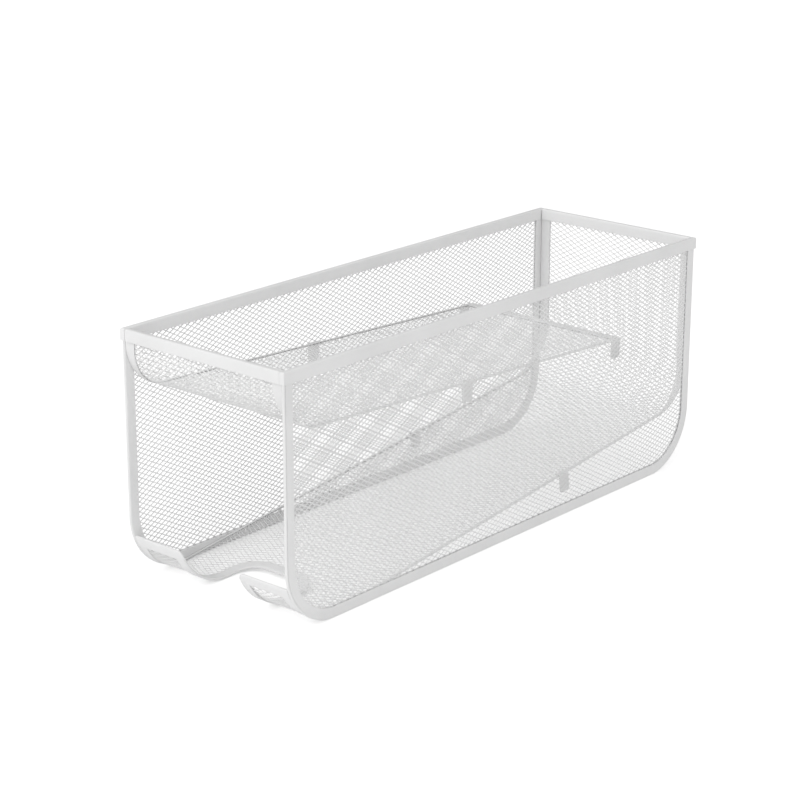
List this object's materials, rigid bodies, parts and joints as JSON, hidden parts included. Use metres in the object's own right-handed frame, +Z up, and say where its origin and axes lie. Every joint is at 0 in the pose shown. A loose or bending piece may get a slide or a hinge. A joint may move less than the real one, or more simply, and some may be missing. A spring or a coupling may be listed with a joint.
{
  "type": "fridge can organizer",
  "caption": "Open-topped mesh bin for drink cans: an upper shelf feeds cans onto a sloped floor that rolls them to a low, notched front lip.",
  "frame": {"origin": "centre of the bounding box's base, on the surface the bin stands on", "axes": "+X to the right seen from the front, +Y from the front lip to the back wall, +Z up"},
  "size_m": [0.14, 0.424, 0.168],
  "materials": {
    "mesh": "white powder coat, satin, on expanded steel",
    "binding": "white powder coat, satin, on folded steel strip"
  },
  "bodies": {
    "root": {"side_mesh_left": "mesh", "side_mesh_right": "mesh", "side_binding_left": "binding", "side_binding_right": "binding", "rim_left": "binding", "rim_right": "binding", "rim_front": "binding", "rim_back": "binding", "floor_sheet": "mesh", "floor_binding_left": "binding", "floor_binding_right": "binding", "lip_binding": "binding", "shelf_sheet": "mesh", "shelf_binding_left": "binding", "shelf_binding_right": "binding", "shelf_rear_binding": "binding", "shelf_tab_mid_left": "binding", "shelf_tab_mid_right": "binding", "shelf_tab_rear_left": "binding", "shelf_tab_rear_right": "binding", "ramp_tab_left": "binding", "ramp_tab_right": "binding"}
  },
  "joints": []
}
